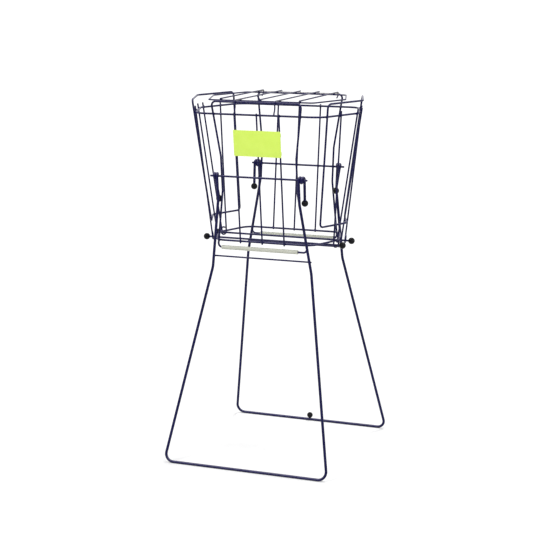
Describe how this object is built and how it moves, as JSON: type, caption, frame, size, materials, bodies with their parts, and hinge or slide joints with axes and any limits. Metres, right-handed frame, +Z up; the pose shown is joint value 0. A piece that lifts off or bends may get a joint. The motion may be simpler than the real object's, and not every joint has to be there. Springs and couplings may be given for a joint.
{
  "type": "ball hopper",
  "caption": "Wire ball hopper: an open basket that balls are pressed up into, with a snap-down lid and two hairpin frames that are legs below or handles above.",
  "frame": {"origin": "on the floor under the middle of the basket, midway between the two feet", "axes": "+Z up, -Y is the front with the sign plate, +X is the right-hand side"},
  "size_m": [0.4214, 0.4577, 0.872],
  "materials": {
    "enamel": "gloss",
    "knob_plastic": "gloss",
    "sleeve_plastic": "satin",
    "sign_plastic": "satin"
  },
  "bodies": {
    "basket": {"rim_ring": "enamel", "base_ring": "enamel", "front_loop": "enamel", "rear_loop": "enamel", "left_loop": "enamel", "right_loop": "enamel", "front_pivot_rod": "enamel", "rear_pivot_rod": "enamel", "front_upright_left": "enamel", "front_upright_middle": "enamel", "front_upright_right": "enamel", "rear_upright_left": "enamel", "rear_upright_middle": "enamel", "rear_upright_right": "enamel", "right_upright_front": "enamel", "right_point_upright_front": "enamel", "right_point_upright_rear": "enamel", "right_upright_rear": "enamel", "left_upright_front": "enamel", "left_point_upright_front": "enamel", "left_point_upright_rear": "enamel", "left_upright_rear": "enamel", "sign_plate": "sign_plastic"},
    "lid": {"lid_frame": "enamel", "lid_hinge_bar_left": "enamel", "lid_latch_bar_left": "enamel", "lid_tab_bar": "enamel", "lid_latch_bar_right": "enamel", "lid_hinge_bar_right": "enamel"},
    "front_leg": {"front_leg_frame": "enamel", "front_leg_crossbar": "enamel", "front_lock_knob_left": "knob_plastic", "front_lock_knob_right": "knob_plastic"},
    "rear_leg": {"rear_leg_frame": "enamel", "rear_leg_crossbar": "enamel", "rear_lock_knob_left": "knob_plastic", "rear_lock_knob_right": "knob_plastic", "grip_knob": "knob_plastic", "grip_stud": "enamel"},
    "front_rod": {"front_floor_rod": "enamel", "front_floor_rod_knob_left": "knob_plastic", "front_floor_rod_knob_right": "knob_plastic"},
    "rear_rod": {"rear_floor_rod": "enamel", "rear_floor_rod_knob_left": "knob_plastic", "rear_floor_rod_knob_right": "knob_plastic"},
    "front_roller": {"front_sleeve": "sleeve_plastic"},
    "rear_roller": {"rear_sleeve": "sleeve_plastic"}
  },
  "joints": [
    {"name": "lid_hinge", "type": "hinge", "parent": "basket", "child": "lid", "pos_m": [0, 0.14346, 0.8545], "axis": [-1, 0, 0], "range_deg": [0, 240]},
    {"name": "front_leg_swing", "type": "hinge", "parent": "basket", "child": "front_leg", "pos_m": [0, -0.12889, 0.68], "axis": [-1, 0, 0], "range_deg": [0, 178]},
    {"name": "rear_leg_swing", "type": "hinge", "parent": "basket", "child": "rear_leg", "pos_m": [0, 0.12889, 0.68], "axis": [1, 0, 0], "range_deg": [0, 178]},
    {"name": "front_rod_roll", "type": "hinge", "parent": "basket", "child": "front_rod", "pos_m": [0, -0.033, 0.5172], "axis": [1, 0, 0], "continuous": true},
    {"name": "rear_rod_roll", "type": "hinge", "parent": "basket", "child": "rear_rod", "pos_m": [0, 0.033, 0.5172], "axis": [1, 0, 0], "continuous": true},
    {"name": "front_sleeve_roll", "type": "hinge", "parent": "basket", "child": "front_roller", "pos_m": [0, -0.10427, 0.5075], "axis": [1, 0, 0], "continuous": true},
    {"name": "rear_sleeve_roll", "type": "hinge", "parent": "basket", "child": "rear_roller", "pos_m": [0, 0.10427, 0.5075], "axis": [1, 0, 0], "continuous": true}
  ]
}
